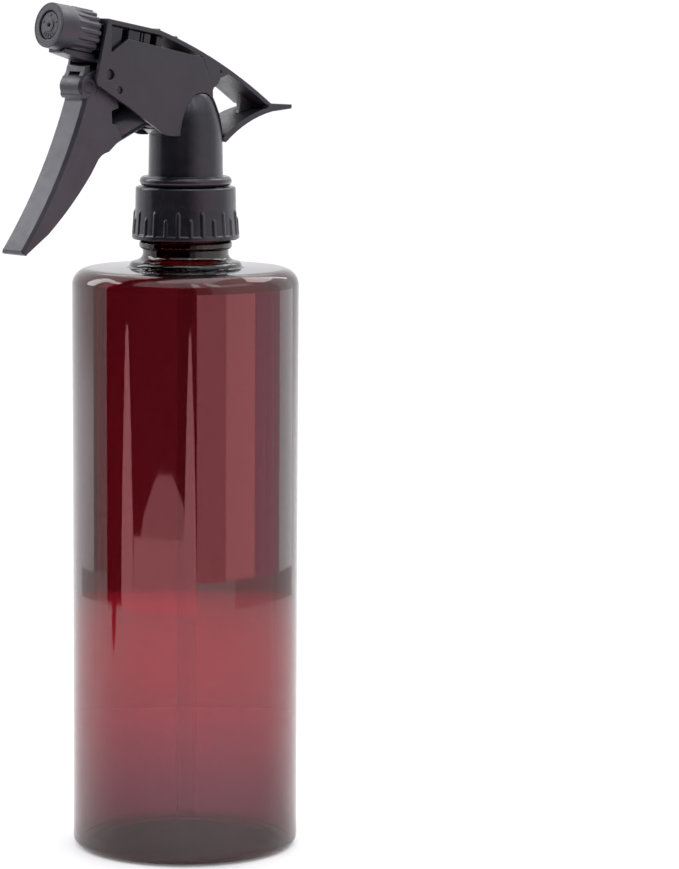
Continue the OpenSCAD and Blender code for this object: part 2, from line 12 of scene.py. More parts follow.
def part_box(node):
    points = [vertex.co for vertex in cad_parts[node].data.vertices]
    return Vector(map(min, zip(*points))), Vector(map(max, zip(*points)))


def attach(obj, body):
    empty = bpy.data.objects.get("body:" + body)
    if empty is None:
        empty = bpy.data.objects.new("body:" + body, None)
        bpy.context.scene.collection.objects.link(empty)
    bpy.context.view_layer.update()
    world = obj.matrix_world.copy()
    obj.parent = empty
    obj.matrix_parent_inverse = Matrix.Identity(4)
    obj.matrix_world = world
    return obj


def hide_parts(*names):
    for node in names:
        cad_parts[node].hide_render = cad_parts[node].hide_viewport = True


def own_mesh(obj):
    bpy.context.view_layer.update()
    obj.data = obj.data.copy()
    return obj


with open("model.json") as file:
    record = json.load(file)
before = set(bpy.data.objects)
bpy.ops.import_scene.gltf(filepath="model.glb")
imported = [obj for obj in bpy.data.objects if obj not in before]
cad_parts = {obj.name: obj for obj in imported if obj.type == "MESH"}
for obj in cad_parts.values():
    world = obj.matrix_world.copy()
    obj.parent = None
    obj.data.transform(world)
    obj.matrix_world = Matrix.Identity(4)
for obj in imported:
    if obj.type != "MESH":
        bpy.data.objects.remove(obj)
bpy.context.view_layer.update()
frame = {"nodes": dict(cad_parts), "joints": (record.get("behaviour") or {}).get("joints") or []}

MM = 0.001
JOINTS = {j["name"]: j for j in frame["joints"]}


# ---------------------------------------------------------------- places taken from the frame

def joint_place(name):
    """Where a joint is, in metres."""
    return Vector(JOINTS[name]["pos_m"])


def joint_axis(name):
    """The way a joint slides, or the line it turns about."""
    return Vector(JOINTS[name]["axis"]).normalized()


BOTTLE_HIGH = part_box("bottle")[1]
CAP_LOW, CAP_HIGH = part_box("screw_cap")
BODY_R = BOTTLE_HIGH.x
RIM_Z = BOTTLE_HIGH.z
NECK_H = 17.9  # millimetres from the shoulder up to the rim
NECK_FOOT = RIM_Z - NECK_H * MM
NOZZLE_FACE = joint_place("nozzle_turn")
NOZZLE_FORWARD = joint_axis("nozzle_turn")


# ---------------------------------------------------------------- mesh helpers

def arc(p, q, r, n):
    """Points from p to q on an arc of radius r, which bulges to the left of the way for r > 0."""
    p, q = Vector(p), Vector(q)
    d = q - p
    side = math.copysign(1, r)
    u = Vector((d.y, -d.x)).normalized() * side
    centre = (p + q) / 2 + u * math.sqrt(max(0, r * r - d.length_squared / 4))
    middle = math.atan2(-u.y, -u.x)
    half = math.asin(min(1, d.length / 2 / abs(r)))
    angles = [middle + side * half * (1 - 2 * i / n) for i in range(n + 1)]
    return [centre + abs(r) * Vector((math.cos(a), math.sin(a))) for a in angles]


def subdivided(outline, step):
    """The outline with points added so that no stretch is longer than step."""
    points = []
    for p, q in zip(outline, outline[1:]):
        p, q = Vector(p), Vector(q)
        n = max(1, math.ceil((q - p).length / step))
        points += [p.lerp(q, i / n) for i in range(n)]
    return points + [Vector(outline[-1])]


def guarded(outline, guard=0.25):
    """The outline with a point near both ends of each long stretch, so that its shading stays true."""
    points = [Vector(outline[0])]
    for p, q in zip(outline, outline[1:]):
        p, q = Vector(p), Vector(q)
        if (q - p).length > 4 * guard:
            step = (q - p).normalized() * guard
            points += [p + step, q - step]
        points.append(q)
    return points


def new_object(name, bm, smooth_angle=30):
    """A mesh object from a bmesh, shaded smooth except over edges sharper than smooth_angle."""
    bmesh.ops.recalc_face_normals(bm, faces=bm.faces)
    mesh = bpy.data.meshes.new(name)
    bm.to_mesh(mesh)
    bm.free()
    mesh.shade_smooth()
    mesh.set_sharp_from_angle(angle=math.radians(smooth_angle))
    obj = bpy.data.objects.new(name, mesh)
    bpy.context.scene.collection.objects.link(obj)
    return obj


def revolve(bm, outline, segments, closed=False, move=None, place=None):
    """Turns an outline of (radius, height) points in millimetres about Z. A closed outline makes a ring.
    An open one starts and ends on the axis. move(point, angle) gives a point's own radius and height."""
    place = place or Matrix.Identity(4)
    rings = []
    for point in outline:
        if point[0] < 1e-6:
            rings.append([bm.verts.new(place @ Vector((0, 0, point[1] * MM)))])
            continue
        ring = []
        for k in range(segments):
            a = 2 * math.pi * k / segments
            r, z = move(point, a) if move else point
            ring.append(bm.verts.new(place @ Vector((r * math.cos(a) * MM, r * math.sin(a) * MM, z * MM))))
        rings.append(ring)
    pairs = list(zip(rings, rings[1:])) + ([(rings[-1], rings[0])] if closed else [])
    for low, high in pairs:
        for k in range(segments):
            n = (k + 1) % segments
            if len(low) == 1:
                bm.faces.new((low[0], high[n], high[k]))
            elif len(high) == 1:
                bm.faces.new((low[k], low[n], high[0]))
            else:
                bm.faces.new((low[k], low[n], high[n], high[k]))
    return bm


def smoothstep(x):
    """0 up to x = 0, 1 from x = 1 on, and an even ease between them."""
    x = min(1, max(0, x))
    return x * x * (3 - 2 * x)


def refined(node, width, name, sharp_from=35, shortest=0.1):
    """A CAD node's shape as a new piece, its sharp edges rounded by width mm and its flats shaded flat.
    Only edges that turn by more than sharp_from degrees and are longer than shortest mm are rounded."""
    source = frame["nodes"][node].data
    bm = bmesh.new()
    verts = [bm.verts.new(v.co) for v in source.vertices]
    for polygon in source.polygons:
        bm.faces.new([verts[i] for i in polygon.vertices])
    bmesh.ops.remove_doubles(bm, verts=bm.verts, dist=0.002 * MM)
    before = BVHTree.FromBMesh(bm)
    low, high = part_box(node)
    bm.normal_update()
    sharp = [e for e in bm.edges if e.calc_face_angle(0) > math.radians(sharp_from)
             and e.calc_length() > shortest * MM]
    bmesh.ops.bevel(bm, geom=sharp, offset=width * MM, offset_type="OFFSET", segments=2,
                    profile=0.5, affect="EDGES", clamp_overlap=False)
    for v in bm.verts:
        nearest, _, _, away = before.find_nearest(v.co)
        if away > width * MM:
            v.co = nearest
        v.co = [min(max(v.co[i], low[i]), high[i]) for i in range(3)]
    bmesh.ops.remove_doubles(bm, verts=bm.verts, dist=0.002 * MM)
    piece = new_object(name, bm)
    even = piece.modifiers.new("even_flats", "WEIGHTED_NORMAL")
    even.keep_sharp = True
    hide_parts(node)
    return piece


# ---------------------------------------------------------------- material helpers

class Material:
    """A node material around one Principled shader, with short calls for what is linked into it."""

    def __init__(self, name):
        self.data = bpy.data.materials.new(name)
        self.data.use_nodes = True
        self.tree = self.data.node_tree
        self.shader = self.tree.nodes["Principled BSDF"]
        self.coords = self.tree.nodes.new("ShaderNodeTexCoord").outputs["Object"]

    def set(self, **values):
        for name, value in values.items():
            self.shader.inputs[name.replace("_", " ")].default_value = value

    def node(self, kind, links=(), **settings):
        made = self.tree.nodes.new(kind)
        for key, value in settings.items():
            setattr(made, key, value)
        for name, value in dict(links).items():
            if isinstance(value, bpy.types.NodeSocket):
                self.tree.links.new(value, made.inputs[name])
            else:
                made.inputs[name].default_value = value
        return made

    def noise(self, size, detail=3, stretch=(1, 1, 1)):
        """Noise with features about size mm across, stretched along the axes."""
        mapping = self.node("ShaderNodeMapping", {"Vector": self.coords, "Scale": stretch})
        return self.node("ShaderNodeTexNoise", {
            "Vector": mapping.outputs[0], "Scale": 1 / (size * MM), "Detail": detail}).outputs["Fac"]

    def ramp(self, value, low, high, out_low, out_high):
        return self.node("ShaderNodeMapRange", {
            "Value": value, "From Min": low, "From Max": high,
            "To Min": out_low, "To Max": out_high}).outputs["Result"]

    def blend(self, factor, a, b):
        """Colour a where factor is 0 and b where it is 1."""
        mixed = self.node("ShaderNodeMix", data_type="RGBA")
        self.tree.links.new(factor, mixed.inputs["Factor"])
        for index, value in ((6, a), (7, b)):
            if isinstance(value, bpy.types.NodeSocket):
                self.tree.links.new(value, mixed.inputs[index])
            else:
                mixed.inputs[index].default_value = value
        return mixed.outputs[2]

    def clouded(self, size, detail, dark, light):
        """A colour that drifts between dark and light in clouds about size mm across."""
        return self.blend(self.ramp(self.noise(size, detail), 0.35, 0.65, 0, 1), dark, light)

    def edges(self, radius):
        """A mask that is 1 on edges that stand proud, and the normal rounded over them."""
        rounded = self.node("ShaderNodeBevel", {"Radius": radius * MM}, samples=6).outputs["Normal"]
        normal = self.node("ShaderNodeNewGeometry").outputs["Normal"]
        dot = self.node("ShaderNodeVectorMath", operation="DOT_PRODUCT")
        self.tree.links.new(rounded, dot.inputs[0])
        self.tree.links.new(normal, dot.inputs[1])
        return self.ramp(dot.outputs["Value"], 0.99, 0.85, 0, 1), rounded

    def bump(self, height, depth, normal=None):
        """Adds height, from 0 to 1, as a bump depth mm deep."""
        links = {"Height": height, "Distance": depth * MM, "Strength": 1}
        if normal:
            links["Normal"] = normal
        return self.node("ShaderNodeBump", links).outputs["Normal"]

    def link(self, output, socket):
        self.tree.links.new(output, self.shader.inputs[socket])


def rgb(r, g, b):
    return (r, g, b, 1)


def moulded_plastic(name, dark, light, worn, roughness, grain, edge=0.22):
    """Opaque moulded plastic: faint flow clouding, fine mould grain, handling haze and lighter worn edges."""
    m = Material(name)
    cloud = m.noise(9, 4)
    haze = m.noise(2.2, 5)
    proud, rounded = m.edges(edge)
    scuff = m.node("ShaderNodeMath", {0: proud, 1: m.ramp(m.noise(1.1, 4), 0.42, 0.7, 0, 1)},
                   operation="MULTIPLY").outputs[0]
    body = m.blend(m.ramp(cloud, 0.35, 0.65, 0, 1), dark, light)
    m.link(m.blend(scuff, body, worn), "Base Color")
    m.link(m.ramp(haze, 0.3, 0.7, roughness - 0.05, roughness + 0.08), "Roughness")
    fine = m.noise(0.16, 2)
    m.link(m.bump(m.ramp(fine, 0.3, 0.7, 0, 1), grain, m.bump(cloud, 0.02, rounded)), "Normal")
    m.set(IOR=1.49, Specular_Tint=rgb(0.9, 0.89, 1.0))
    return m.data


def tinted_pet():
    """Bottle plastic, tinted through its depth and deeper in the thick neck, with faint moulding waves and
    painted shade low down.
    """
    m = Material("tinted_pet")
    flow = m.noise(26, 3, (1, 1, 0.25))
    smear = m.noise(7, 4)
    height = m.node("ShaderNodeSeparateXYZ", {0: m.coords}).outputs["Z"]
    neck = m.ramp(height, NECK_FOOT + 1.5 * MM, NECK_FOOT + 3 * MM, 0, 1)
    # painted shade: towards the base the wall's colour turns a darker bluish grey, for the floor's shadow
    # under the bottle seen through it
    base = m.ramp(height, 55 * MM, 4 * MM, 0, 1)
    wall = m.blend(m.ramp(flow, 0.35, 0.65, 0, 1), rgb(0.93, 0.86, 0.88), rgb(0.98, 0.95, 0.96))
    wall = m.blend(base, wall, rgb(0.5, 0.68, 0.86))
    m.link(m.blend(neck, wall, rgb(0.2, 0.05, 0.06)), "Base Color")
    m.link(m.ramp(smear, 0.35, 0.75, 0.015, 0.05), "Roughness")
    m.link(m.bump(m.noise(34, 2, (1, 1, 0.35)), 0.12), "Normal")
    m.set(IOR=1.575, Transmission_Weight=1.0)
    tint = m.node("ShaderNodeVolumeAbsorption", {"Color": rgb(0.71, 0.04, 0.17), "Density": TINT_DENSITY})
    m.tree.links.new(tint.outputs[0], m.tree.nodes["Material Output"].inputs["Volume"])
    return m.data


def clear_plastic():
    """Thin clear tube plastic, nearly lost against what is behind it."""
    m = Material("clear_plastic")
    m.link(m.clouded(9, 3, rgb(0.93, 0.93, 0.92), rgb(0.98, 0.98, 0.98)), "Base Color")
    m.link(m.ramp(m.noise(3, 4), 0.3, 0.7, 0.02, 0.08), "Roughness")
    m.link(m.bump(m.noise(5, 2, (1, 1, 0.1)), 0.01), "Normal")
    m.set(Transmission_Weight=1.0, IOR=1.08)
    return m.data


def natural_plastic():
    """Undyed, milky plastic of the small inner parts."""
    m = Material("natural_plastic")
    m.link(m.clouded(6, 4, rgb(0.78, 0.79, 0.76), rgb(0.86, 0.87, 0.85)), "Base Color")
    m.link(m.ramp(m.noise(1.5, 4), 0.3, 0.7, 0.3, 0.42), "Roughness")
    m.link(m.bump(m.noise(0.3, 2), 0.006), "Normal")
    m.set(Transmission_Weight=0.45, IOR=1.5)
    return m.data


def seal_rubber():
    """Dull black rubber of the seals."""
    m = Material("seal_rubber")
    m.link(m.clouded(3, 5, rgb(0.02, 0.02, 0.021), rgb(0.032, 0.032, 0.033)), "Base Color")
    m.link(m.ramp(m.noise(0.8, 4), 0.3, 0.7, 0.62, 0.8), "Roughness")
    m.link(m.bump(m.noise(0.12, 3), 0.01), "Normal")
    return m.data


def drawn_steel():
    """Bright wire and ball steel with fine draw lines."""
    m = Material("drawn_steel")
    m.link(m.clouded(2, 4, rgb(0.55, 0.55, 0.56), rgb(0.66, 0.66, 0.68)), "Base Color")
    m.link(m.ramp(m.noise(0.4, 4, (1, 1, 6)), 0.3, 0.7, 0.16, 0.3), "Roughness")
    m.link(m.bump(m.noise(0.15, 2, (1, 1, 8)), 0.003), "Normal")
    m.set(Metallic=1.0)
    return m.data


TINT_DENSITY = 2700  # sets how dark the thin wall looks
COLUMN_BLACK = moulded_plastic("column_black", rgb(0.007, 0.007, 0.0095), rgb(0.011, 0.011, 0.014),
                               rgb(0.035, 0.035, 0.042), 0.2, 0.004)
CAP_BLACK = moulded_plastic("cap_black", rgb(0.007, 0.007, 0.0095), rgb(0.011, 0.011, 0.014),
                            rgb(0.045, 0.045, 0.052), 0.2, 0.004)
SHROUD_BLACK = moulded_plastic("shroud_black", rgb(0.0105, 0.0103, 0.0135), rgb(0.014, 0.0138, 0.018),
                               rgb(0.06, 0.06, 0.067), 0.36, 0.01, 0.3)
TRIGGER_BLACK = moulded_plastic("trigger_black", rgb(0.014, 0.0138, 0.018), rgb(0.023, 0.0228, 0.028),
                                rgb(0.085, 0.085, 0.092), 0.36, 0.012)
INNER_BLACK = moulded_plastic("inner_black", rgb(0.010, 0.010, 0.0125), rgb(0.016, 0.016, 0.019),
                              rgb(0.05, 0.05, 0.056), 0.32, 0.006, 0.15)
NATURAL = natural_plastic()
RUBBER = seal_rubber()
STEEL = drawn_steel()
CLEAR = clear_plastic()
TINTED = tinted_pet()


def dress(obj, material, body=None):
    """Gives an object one material, and a new piece its body."""
    obj.data.materials.clear()
    obj.data.materials.append(material)
    if body:
        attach(obj, body)
    return obj


# ---------------------------------------------------------------- bottle

WALL = 0.8
SHOULDER_R = 5.0
NECK_R = 12.5
MOUTH_R = 10.8
THREAD_R = 13.7
THREAD_PITCH = 4.233
THREAD_TURNS = 1.25
THREAD_BELOW_RIM = 6.6
RING_R = 13.5
RING_ABOVE_SHOULDER = 5.5
PUSH_UP = 3.5
BOTTLE_SEGMENTS = 192


def bottle_outline(body_r, rim_z):
    """The wall's outline, out from the middle of the base, up to the mouth and down the inside."""
    shoulder_z = rim_z - NECK_H
    ring_z = shoulder_z + RING_ABOVE_SHOULDER
    thread_low = rim_z - THREAD_BELOW_RIM
    in_r = body_r - WALL
    outside = [(0, PUSH_UP)] + arc((2.2, PUSH_UP), (body_r - 8, 0.5), 130, 16)
    outside += [(body_r - 6, 0.06), (body_r - 5.4, 0), (body_r - 3.4, 0)]
    outside += arc((body_r - 1.6, 0.3), (body_r, 2.2), -2.2, 10)
    outside += arc((body_r, shoulder_z - SHOULDER_R - 0.3), (body_r - SHOULDER_R, shoulder_z - 0.3),
                   -SHOULDER_R, 18)
    outside += [(17.4, shoulder_z)]
    outside += arc((16.4, shoulder_z + 0.4), (15.6, shoulder_z + 1.6), -1.4, 8)
    outside += arc((14.6, shoulder_z + 1.9), (NECK_R, shoulder_z + 3.6), 2.4, 8)
    outside += [(NECK_R, ring_z - 0.35), (RING_R - 0.35, ring_z - 0.05), (RING_R, ring_z + 0.4),
                (RING_R, ring_z + 1.6), (RING_R - 0.35, ring_z + 2), (NECK_R, ring_z + 2.3)]
    outside += subdivided([(NECK_R, thread_low - 1.8), (NECK_R, rim_z - 0.35)], 0.18)
    outside += [(NECK_R - 0.1, rim_z - 0.1), (NECK_R - 0.35, rim_z)]
    inside = [(MOUTH_R + 0.2, rim_z), (MOUTH_R, rim_z - 0.2), (MOUTH_R, shoulder_z + 3.6)]
    inside += arc((MOUTH_R, shoulder_z + 3.6), (14.6, shoulder_z - WALL), -4.2, 8)[1:]
    inside += arc((body_r - SHOULDER_R, shoulder_z - WALL - 0.3), (in_r, shoulder_z - SHOULDER_R - 0.3),
                  SHOULDER_R - WALL, 14)
    inside += arc((in_r, 2.6), (body_r - 3, WALL + 0.1), 2.4, 8)
    inside += arc((body_r - 8, 0.5 + WALL), (2.2, PUSH_UP + WALL), -130, 12) + [(0, PUSH_UP + WALL)]
    return [tuple(p) for p in guarded(outside + inside)], thread_low


def thread_ridge(height, angle, low, crest, root_w, crest_w, pitch=THREAD_PITCH, turns=THREAD_TURNS):
    """How far a helical ridge stands out at a height of a round wall."""
    best = 0
    for turn in range(2):
        run = angle / (2 * math.pi) + turn
        if run > turns:
            continue
        ends = smoothstep(min(run, turns - run) * 9)
        off = abs(height - low - pitch * run)
        best = max(best, crest * ends * smoothstep((root_w / 2 - off) / (root_w - crest_w) * 2))
    return best


def make_bottle():
    """The bottle's wall as one closed turned form, with its neck thread."""
    outline, thread_low = bottle_outline(BODY_R / MM, RIM_Z / MM)

    def neck_thread(point, angle):
        r, z = point
        if abs(r - NECK_R) < 0.01 and z > thread_low - 1.9:
            r += thread_ridge(z, angle, thread_low, THREAD_R - NECK_R, 2.2, 1)
        return r, z

    bm = revolve(bmesh.new(), outline, BOTTLE_SEGMENTS, move=neck_thread)
    piece = new_object("bottle_wall", bm, 50)
    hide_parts("bottle")
    return dress(piece, TINTED, "bottle")


# ---------------------------------------------------------------- screw cap

CAP_RIBS = 26
CAP_SEGMENTS = CAP_RIBS * 20
CAP_LIP_R = 15.6
CAP_TOP_R = 14.5
CAP_CAVITY_R = 14.05
CAP_HOLE_R = 8.8
CAP_TOP_WALL = 1.9
CAP_THREAD_FROM = 5.85  # below the top, and the end of the wider room for the retainer
CAP_ROOM_R = 13
LONG_RIB = 8.9
SHORT_RIB = 6.9
CAP_RIB_HALF = 0.8
CAP_RIB_TAPER = 1.2
CAP_RIB_DRAFT = 0.62


def make_cap():
    """The screw cap as one closed turned form: long and short grip ribs outside, the thread inside."""
    low, high = CAP_LOW.z / MM, CAP_HIGH.z / MM
    height = high - low
    slope_h = height - 6.4
    skin = [(CAP_LIP_R - 0.25, 0), (CAP_LIP_R, 0.25), (CAP_LIP_R, 1.0), (CAP_LIP_R - 0.1, 1.3),
            (CAP_LIP_R - 0.4, 1.55), (CAP_TOP_R + 0.12, slope_h), (CAP_TOP_R + 0.02, height - 0.8)]
    skin = subdivided(skin, 0.3) + arc((CAP_TOP_R, height - 0.7), (CAP_TOP_R - 0.7, height), -0.7, 6)
    inside = [(CAP_HOLE_R + 0.25, height), (CAP_HOLE_R, height - 0.25), (CAP_HOLE_R, height - CAP_TOP_WALL),
              (CAP_ROOM_R, height - CAP_TOP_WALL), (CAP_ROOM_R, height - CAP_THREAD_FROM),
              (CAP_CAVITY_R, height - CAP_THREAD_FROM)]
    inside += subdivided([(CAP_CAVITY_R, height - 6), (CAP_CAVITY_R, 0.3)], 0.25) + [(CAP_CAVITY_R + 0.3, 0)]
    thread_low = RIM_Z / MM - low - THREAD_BELOW_RIM - THREAD_PITCH / 2 + 0.5

    def ribs(point, angle):
        r, z = point
        if r > CAP_CAVITY_R + 0.4 and z < height - 1:
            step = 2 * math.pi / CAP_RIBS
            index = round(angle / step) % CAP_RIBS
            across = (angle - round(angle / step) * step) * r
            top = LONG_RIB if index % 2 == 0 else SHORT_RIB
            round_top = max(0, 1 - max(0, z - (top - CAP_RIB_TAPER)) / CAP_RIB_TAPER)
            half = CAP_RIB_HALF * math.sqrt(round_top)
            lean = CAP_LIP_R + 0.06 - CAP_RIB_DRAFT * z / LONG_RIB
            if z > 0.5 and abs(across) < half:
                r = max(r, lean - CAP_RIB_HALF + math.sqrt(max(0, half * half - across * across)))
        elif abs(r - CAP_CAVITY_R) < 0.01:
            turned = (angle - math.radians(40)) % (2 * math.pi)
            r -= thread_ridge(z, turned, thread_low, 0.9, 1.6, 0.8)
        return r, z

    place = Matrix.Translation((0, 0, CAP_LOW.z))
    bm = revolve(bmesh.new(), skin + inside, CAP_SEGMENTS, closed=True, move=ribs, place=place)
    piece = new_object("cap_with_grips", bm, 55)
    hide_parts("screw_cap")
    return dress(piece, CAP_BLACK, "cap")


# ---------------------------------------------------------------- pump head

def make_head_shell():
    """The shroud and the pump body, with their CAD edges rounded."""
    shroud = refined("shroud", 0.16, "shroud_shell")
    dress(shroud, SHROUD_BLACK, "head")
    pump = refined("pump_body", 0.09, "pump_housing")
    dress(pump, COLUMN_BLACK, "head")


def make_trigger():
    """The trigger, with its CAD edges rounded."""
    trigger = refined("trigger", 0.15, "trigger_lever")
    dress(trigger, TRIGGER_BLACK, "trigger")


# Heights along the nozzle run back from its face, so they are negative.
NOZZLE_R = 6.4
GRIP_R = 5.95
GRIP_FROM = -5.5
GRIP_FULL = -10.5
NOZZLE_BORE_R = 4.75
NOZZLE_L = 13.9
NOZZLE_RIBS = 18
NOZZLE_SEGMENTS = NOZZLE_RIBS * 24
RIB_CREST = 6.6
RIB_R = 0.75
RIB_TOP = -6.4
NOZZLE_PITCH = 2.0
HOLE_R = 0.45
HUB_R = 1.9
DISC_R = 4.2
DISC_DEEP = 0.35
GROOVE_DEEP = 0.85
SEAL_GROOVE_R = 4.9
FACE_WALL = 1.9
THREAD_TO = -5.3
MARK_STEPS = ((-0.05, 1), (0.14, 1), (0.18, 0.9), (0.2, 0.75))  # height over the disc, share of the outline


def nozzle_outline():
    """The section of the nozzle, out over its face, back along its grip and forward along its bore."""
    hub = [(HOLE_R, -0.4), (HOLE_R + 0.2, -0.18), (HOLE_R + 0.36, -0.1), (HUB_R - 0.16, -0.1),
           (HUB_R - 0.04, -0.14), (HUB_R, -0.22), (HUB_R + 0.02, -DISC_DEEP + 0.05),
           (HUB_R + 0.1, -DISC_DEEP)]
    groove = [(DISC_R - 0.55, -DISC_DEEP), (DISC_R - 0.48, -DISC_DEEP - 0.06),
              (DISC_R - 0.46, -GROOVE_DEEP + 0.06), (DISC_R - 0.38, -GROOVE_DEEP),
              (DISC_R - 0.08, -GROOVE_DEEP), (DISC_R, -GROOVE_DEEP + 0.08),
              (DISC_R, -0.14), (DISC_R + 0.04, -0.04), (DISC_R + 0.14, 0)]
    line = [(NOZZLE_R - 0.72, 0), (NOZZLE_R - 0.66, -0.08), (NOZZLE_R - 0.56, -0.08), (NOZZLE_R - 0.5, 0)]
    rim = [(NOZZLE_R - 0.2, 0), (NOZZLE_R - 0.1, -0.03), (NOZZLE_R - 0.03, -0.1), (NOZZLE_R, -0.22)]
    grip = subdivided([(NOZZLE_R + 0.1, GRIP_FROM), (GRIP_R, GRIP_FULL), (GRIP_R, -NOZZLE_L + 0.3),
                       (GRIP_R - 0.3, -NOZZLE_L)], 0.25)
    bore = [(NOZZLE_BORE_R + 0.25, -NOZZLE_L)]
    bore += subdivided([(NOZZLE_BORE_R, -NOZZLE_L + 0.25), (NOZZLE_BORE_R, THREAD_TO)], 0.2)
    bore += [(SEAL_GROOVE_R, -5.15), (SEAL_GROOVE_R, -4.1), (NOZZLE_BORE_R, -4.0), (NOZZLE_BORE_R, -1.95),
             (4.6, -FACE_WALL), (HOLE_R, -FACE_WALL)]
    return guarded(hub + groove + line + rim + grip, 0.06) + bore


def nozzle_form(point, angle):
    """Grip ribs outside the back half, and the thread inside."""
    r, z = point
    if r > GRIP_R - 0.35 and -NOZZLE_L + 0.05 < z < GRIP_FROM:
        step = 2 * math.pi / NOZZLE_RIBS
        off = (angle % step) - step / 2
        half = RIB_R * math.sqrt(max(0, 1 - max(0, (z - RIB_TOP) / RIB_R)))
        centre = RIB_CREST - RIB_R
        inside = half * half - (centre * math.sin(off)) ** 2
        if inside > 0:
            r = max(r, centre * math.cos(off) + math.sqrt(inside))
    elif abs(r - NOZZLE_BORE_R) < 0.01 and z < THREAD_TO:
        turned = (angle - math.radians(20)) % (2 * math.pi)
        r -= thread_ridge(z, turned, NOZZLE_PITCH / 2 - 11.5, 0.55, 0.8, 0.45, NOZZLE_PITCH, 1.6)
    return r, z


def raised_mark(bm, outline, place):
    """A small mark on the recessed disc of the face, with its upper edge rounded."""
    base = Vector((0, 0, -DISC_DEEP * MM))
    middle = sum((Vector(p) for p in outline), Vector((0, 0))) / len(outline)
    rings = []
    for height, shrink in MARK_STEPS:
        ring = []
        for p in outline:
            flat = middle + (Vector(p) - middle) * shrink
            ring.append(bm.verts.new(place @ (base + Vector((flat.x, flat.y, height)) * MM)))
        rings.append(ring)
    n = len(outline)
    for low, high in zip(rings, rings[1:]):
        for k in range(n):
            bm.faces.new((low[k], low[(k + 1) % n], high[(k + 1) % n], high[k]))
    bm.faces.new(rings[-1])
    bm.faces.new(rings[0][::-1])


def turned_points(points, degrees):
    """Flat points turned about the middle of the face."""
    a = math.radians(degrees)
    return [(x * math.cos(a) - y * math.sin(a), x * math.sin(a) + y * math.cos(a)) for x, y in points]


def make_nozzle():
    """The nozzle as one turned form. Its marks are a row of ticks, two dots and an arrow head."""
    up = Vector((0, 0, 1))
    across = up.cross(NOZZLE_FORWARD).normalized()
    rise = NOZZLE_FORWARD.cross(across)
    turn = Matrix((rise, across, NOZZLE_FORWARD)).transposed().to_4x4()
    place = Matrix.Translation(NOZZLE_FACE) @ turn
    bm = revolve(bmesh.new(), nozzle_outline(), NOZZLE_SEGMENTS, closed=True, move=nozzle_form, place=place)
    tick = [(2.3, -0.13), (3.4, -0.13), (3.4, 0.13), (2.3, 0.13)]
    for degrees in (140, 160, 180, 200, 220):
        raised_mark(bm, turned_points(tick, degrees), place)
    for degrees in (-70, 70):
        dot = [(2.9 + 0.3 * math.cos(a), 0.3 * math.sin(a)) for a in (i * math.pi / 8 for i in range(16))]
        raised_mark(bm, turned_points(dot, degrees), place)
    raised_mark(bm, [(3.4, 0), (2.5, 0.5), (2.5, -0.5)], place)
    nozzle = new_object("nozzle_knob", bm, 40)
    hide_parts("nozzle_cap")
    dress(nozzle, TRIGGER_BLACK, "nozzle")


# ---------------------------------------------------------------- inner pieces

CARRIED_OVER = {
    "shank_retainer": CAP_BLACK, "pivot_pin": INNER_BLACK, "piston": INNER_BLACK, "spout": INNER_BLACK,
    "gasket": RUBBER, "vent_seal": RUBBER, "piston_seal": RUBBER, "nozzle_seal": RUBBER,
    "inlet_valve_seat": NATURAL, "dip_tube": CLEAR, "outlet_valve": NATURAL, "swirl_insert": NATURAL,
    "inlet_ball": STEEL,
}
SPRINGS = {"return_spring": "piston_stroke", "outlet_spring": "outlet_valve_open"}


def make_springs():
    """Each spring as a new piece of its CAD shape, in drawn steel, carried with the head."""
    for node, joint in SPRINGS.items():
        bm = bmesh.new()
        bm.from_mesh(frame["nodes"][node].data)
        spring = new_object(node + "_wire", bm)
        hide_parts(node)
        dress(spring, STEEL, "head")
        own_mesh(spring)


def dress_carried_over():
    """The pieces that keep their CAD shape get their materials."""
    for node, material in CARRIED_OVER.items():
        dress(frame["nodes"][node], material)


# ---------------------------------------------------------------- stage

VIEW_AZIMUTH = -40.0
VIEW_ELEVATION = 8.4
VIEW_DISTANCE = 1.1
LENS = 155.35
AIM_HEIGHT = 0.100
AIM_RIGHT = math.radians(2.352)
AIM_UP = math.radians(1.098)

# The cards' turns are in degrees from the camera's side, and their heights and distances in metres.
CARD_DISTANCE = 0.455
NEARER = 0.45
NEAREST = 0.445
CARD_FOOT = 0.012
WINDOW_SPLIT = 0.135
CARD_TOP = 0.5
ON_FLOOR = Vector((0, 0, 0.0008))
WHITE = (1, 1, 1)
PALE = (0.95, 0.97, 1)
ROSE = (1, 0.64, 0.77)
WARM = (1, 0.42, 0.45)
SHADE_RINGS = 12
SHADE_RING_W = 0.02


def direction(azimuth, elevation=0.0):
    """The way from the object towards a place at that azimuth, which starts at -Y, and elevation."""
    a, e = math.radians(azimuth), math.radians(elevation)
    return Vector((math.sin(a) * math.cos(e), -math.cos(a) * math.cos(e), math.sin(e)))


def make_camera():
    """The photograph's view, aimed a little right of and above the object."""
    data = bpy.data.cameras.new("camera")
    data.lens = LENS
    data.sensor_width = 36
    data.clip_start = 0.05
    camera = bpy.data.objects.new("camera", data)
    back = direction(VIEW_AZIMUTH, VIEW_ELEVATION)
    camera.location = Vector((0, 0, AIM_HEIGHT)) + back * VIEW_DISTANCE
    look = (-back).to_track_quat("-Z", "Y").to_matrix()
    turn = Matrix.Rotation(-AIM_RIGHT, 3, "Y") @ Matrix.Rotation(AIM_UP, 3, "X")
    camera.rotation_euler = (look @ turn).to_euler()
    bpy.context.scene.collection.objects.link(camera)
    bpy.context.scene.camera = camera


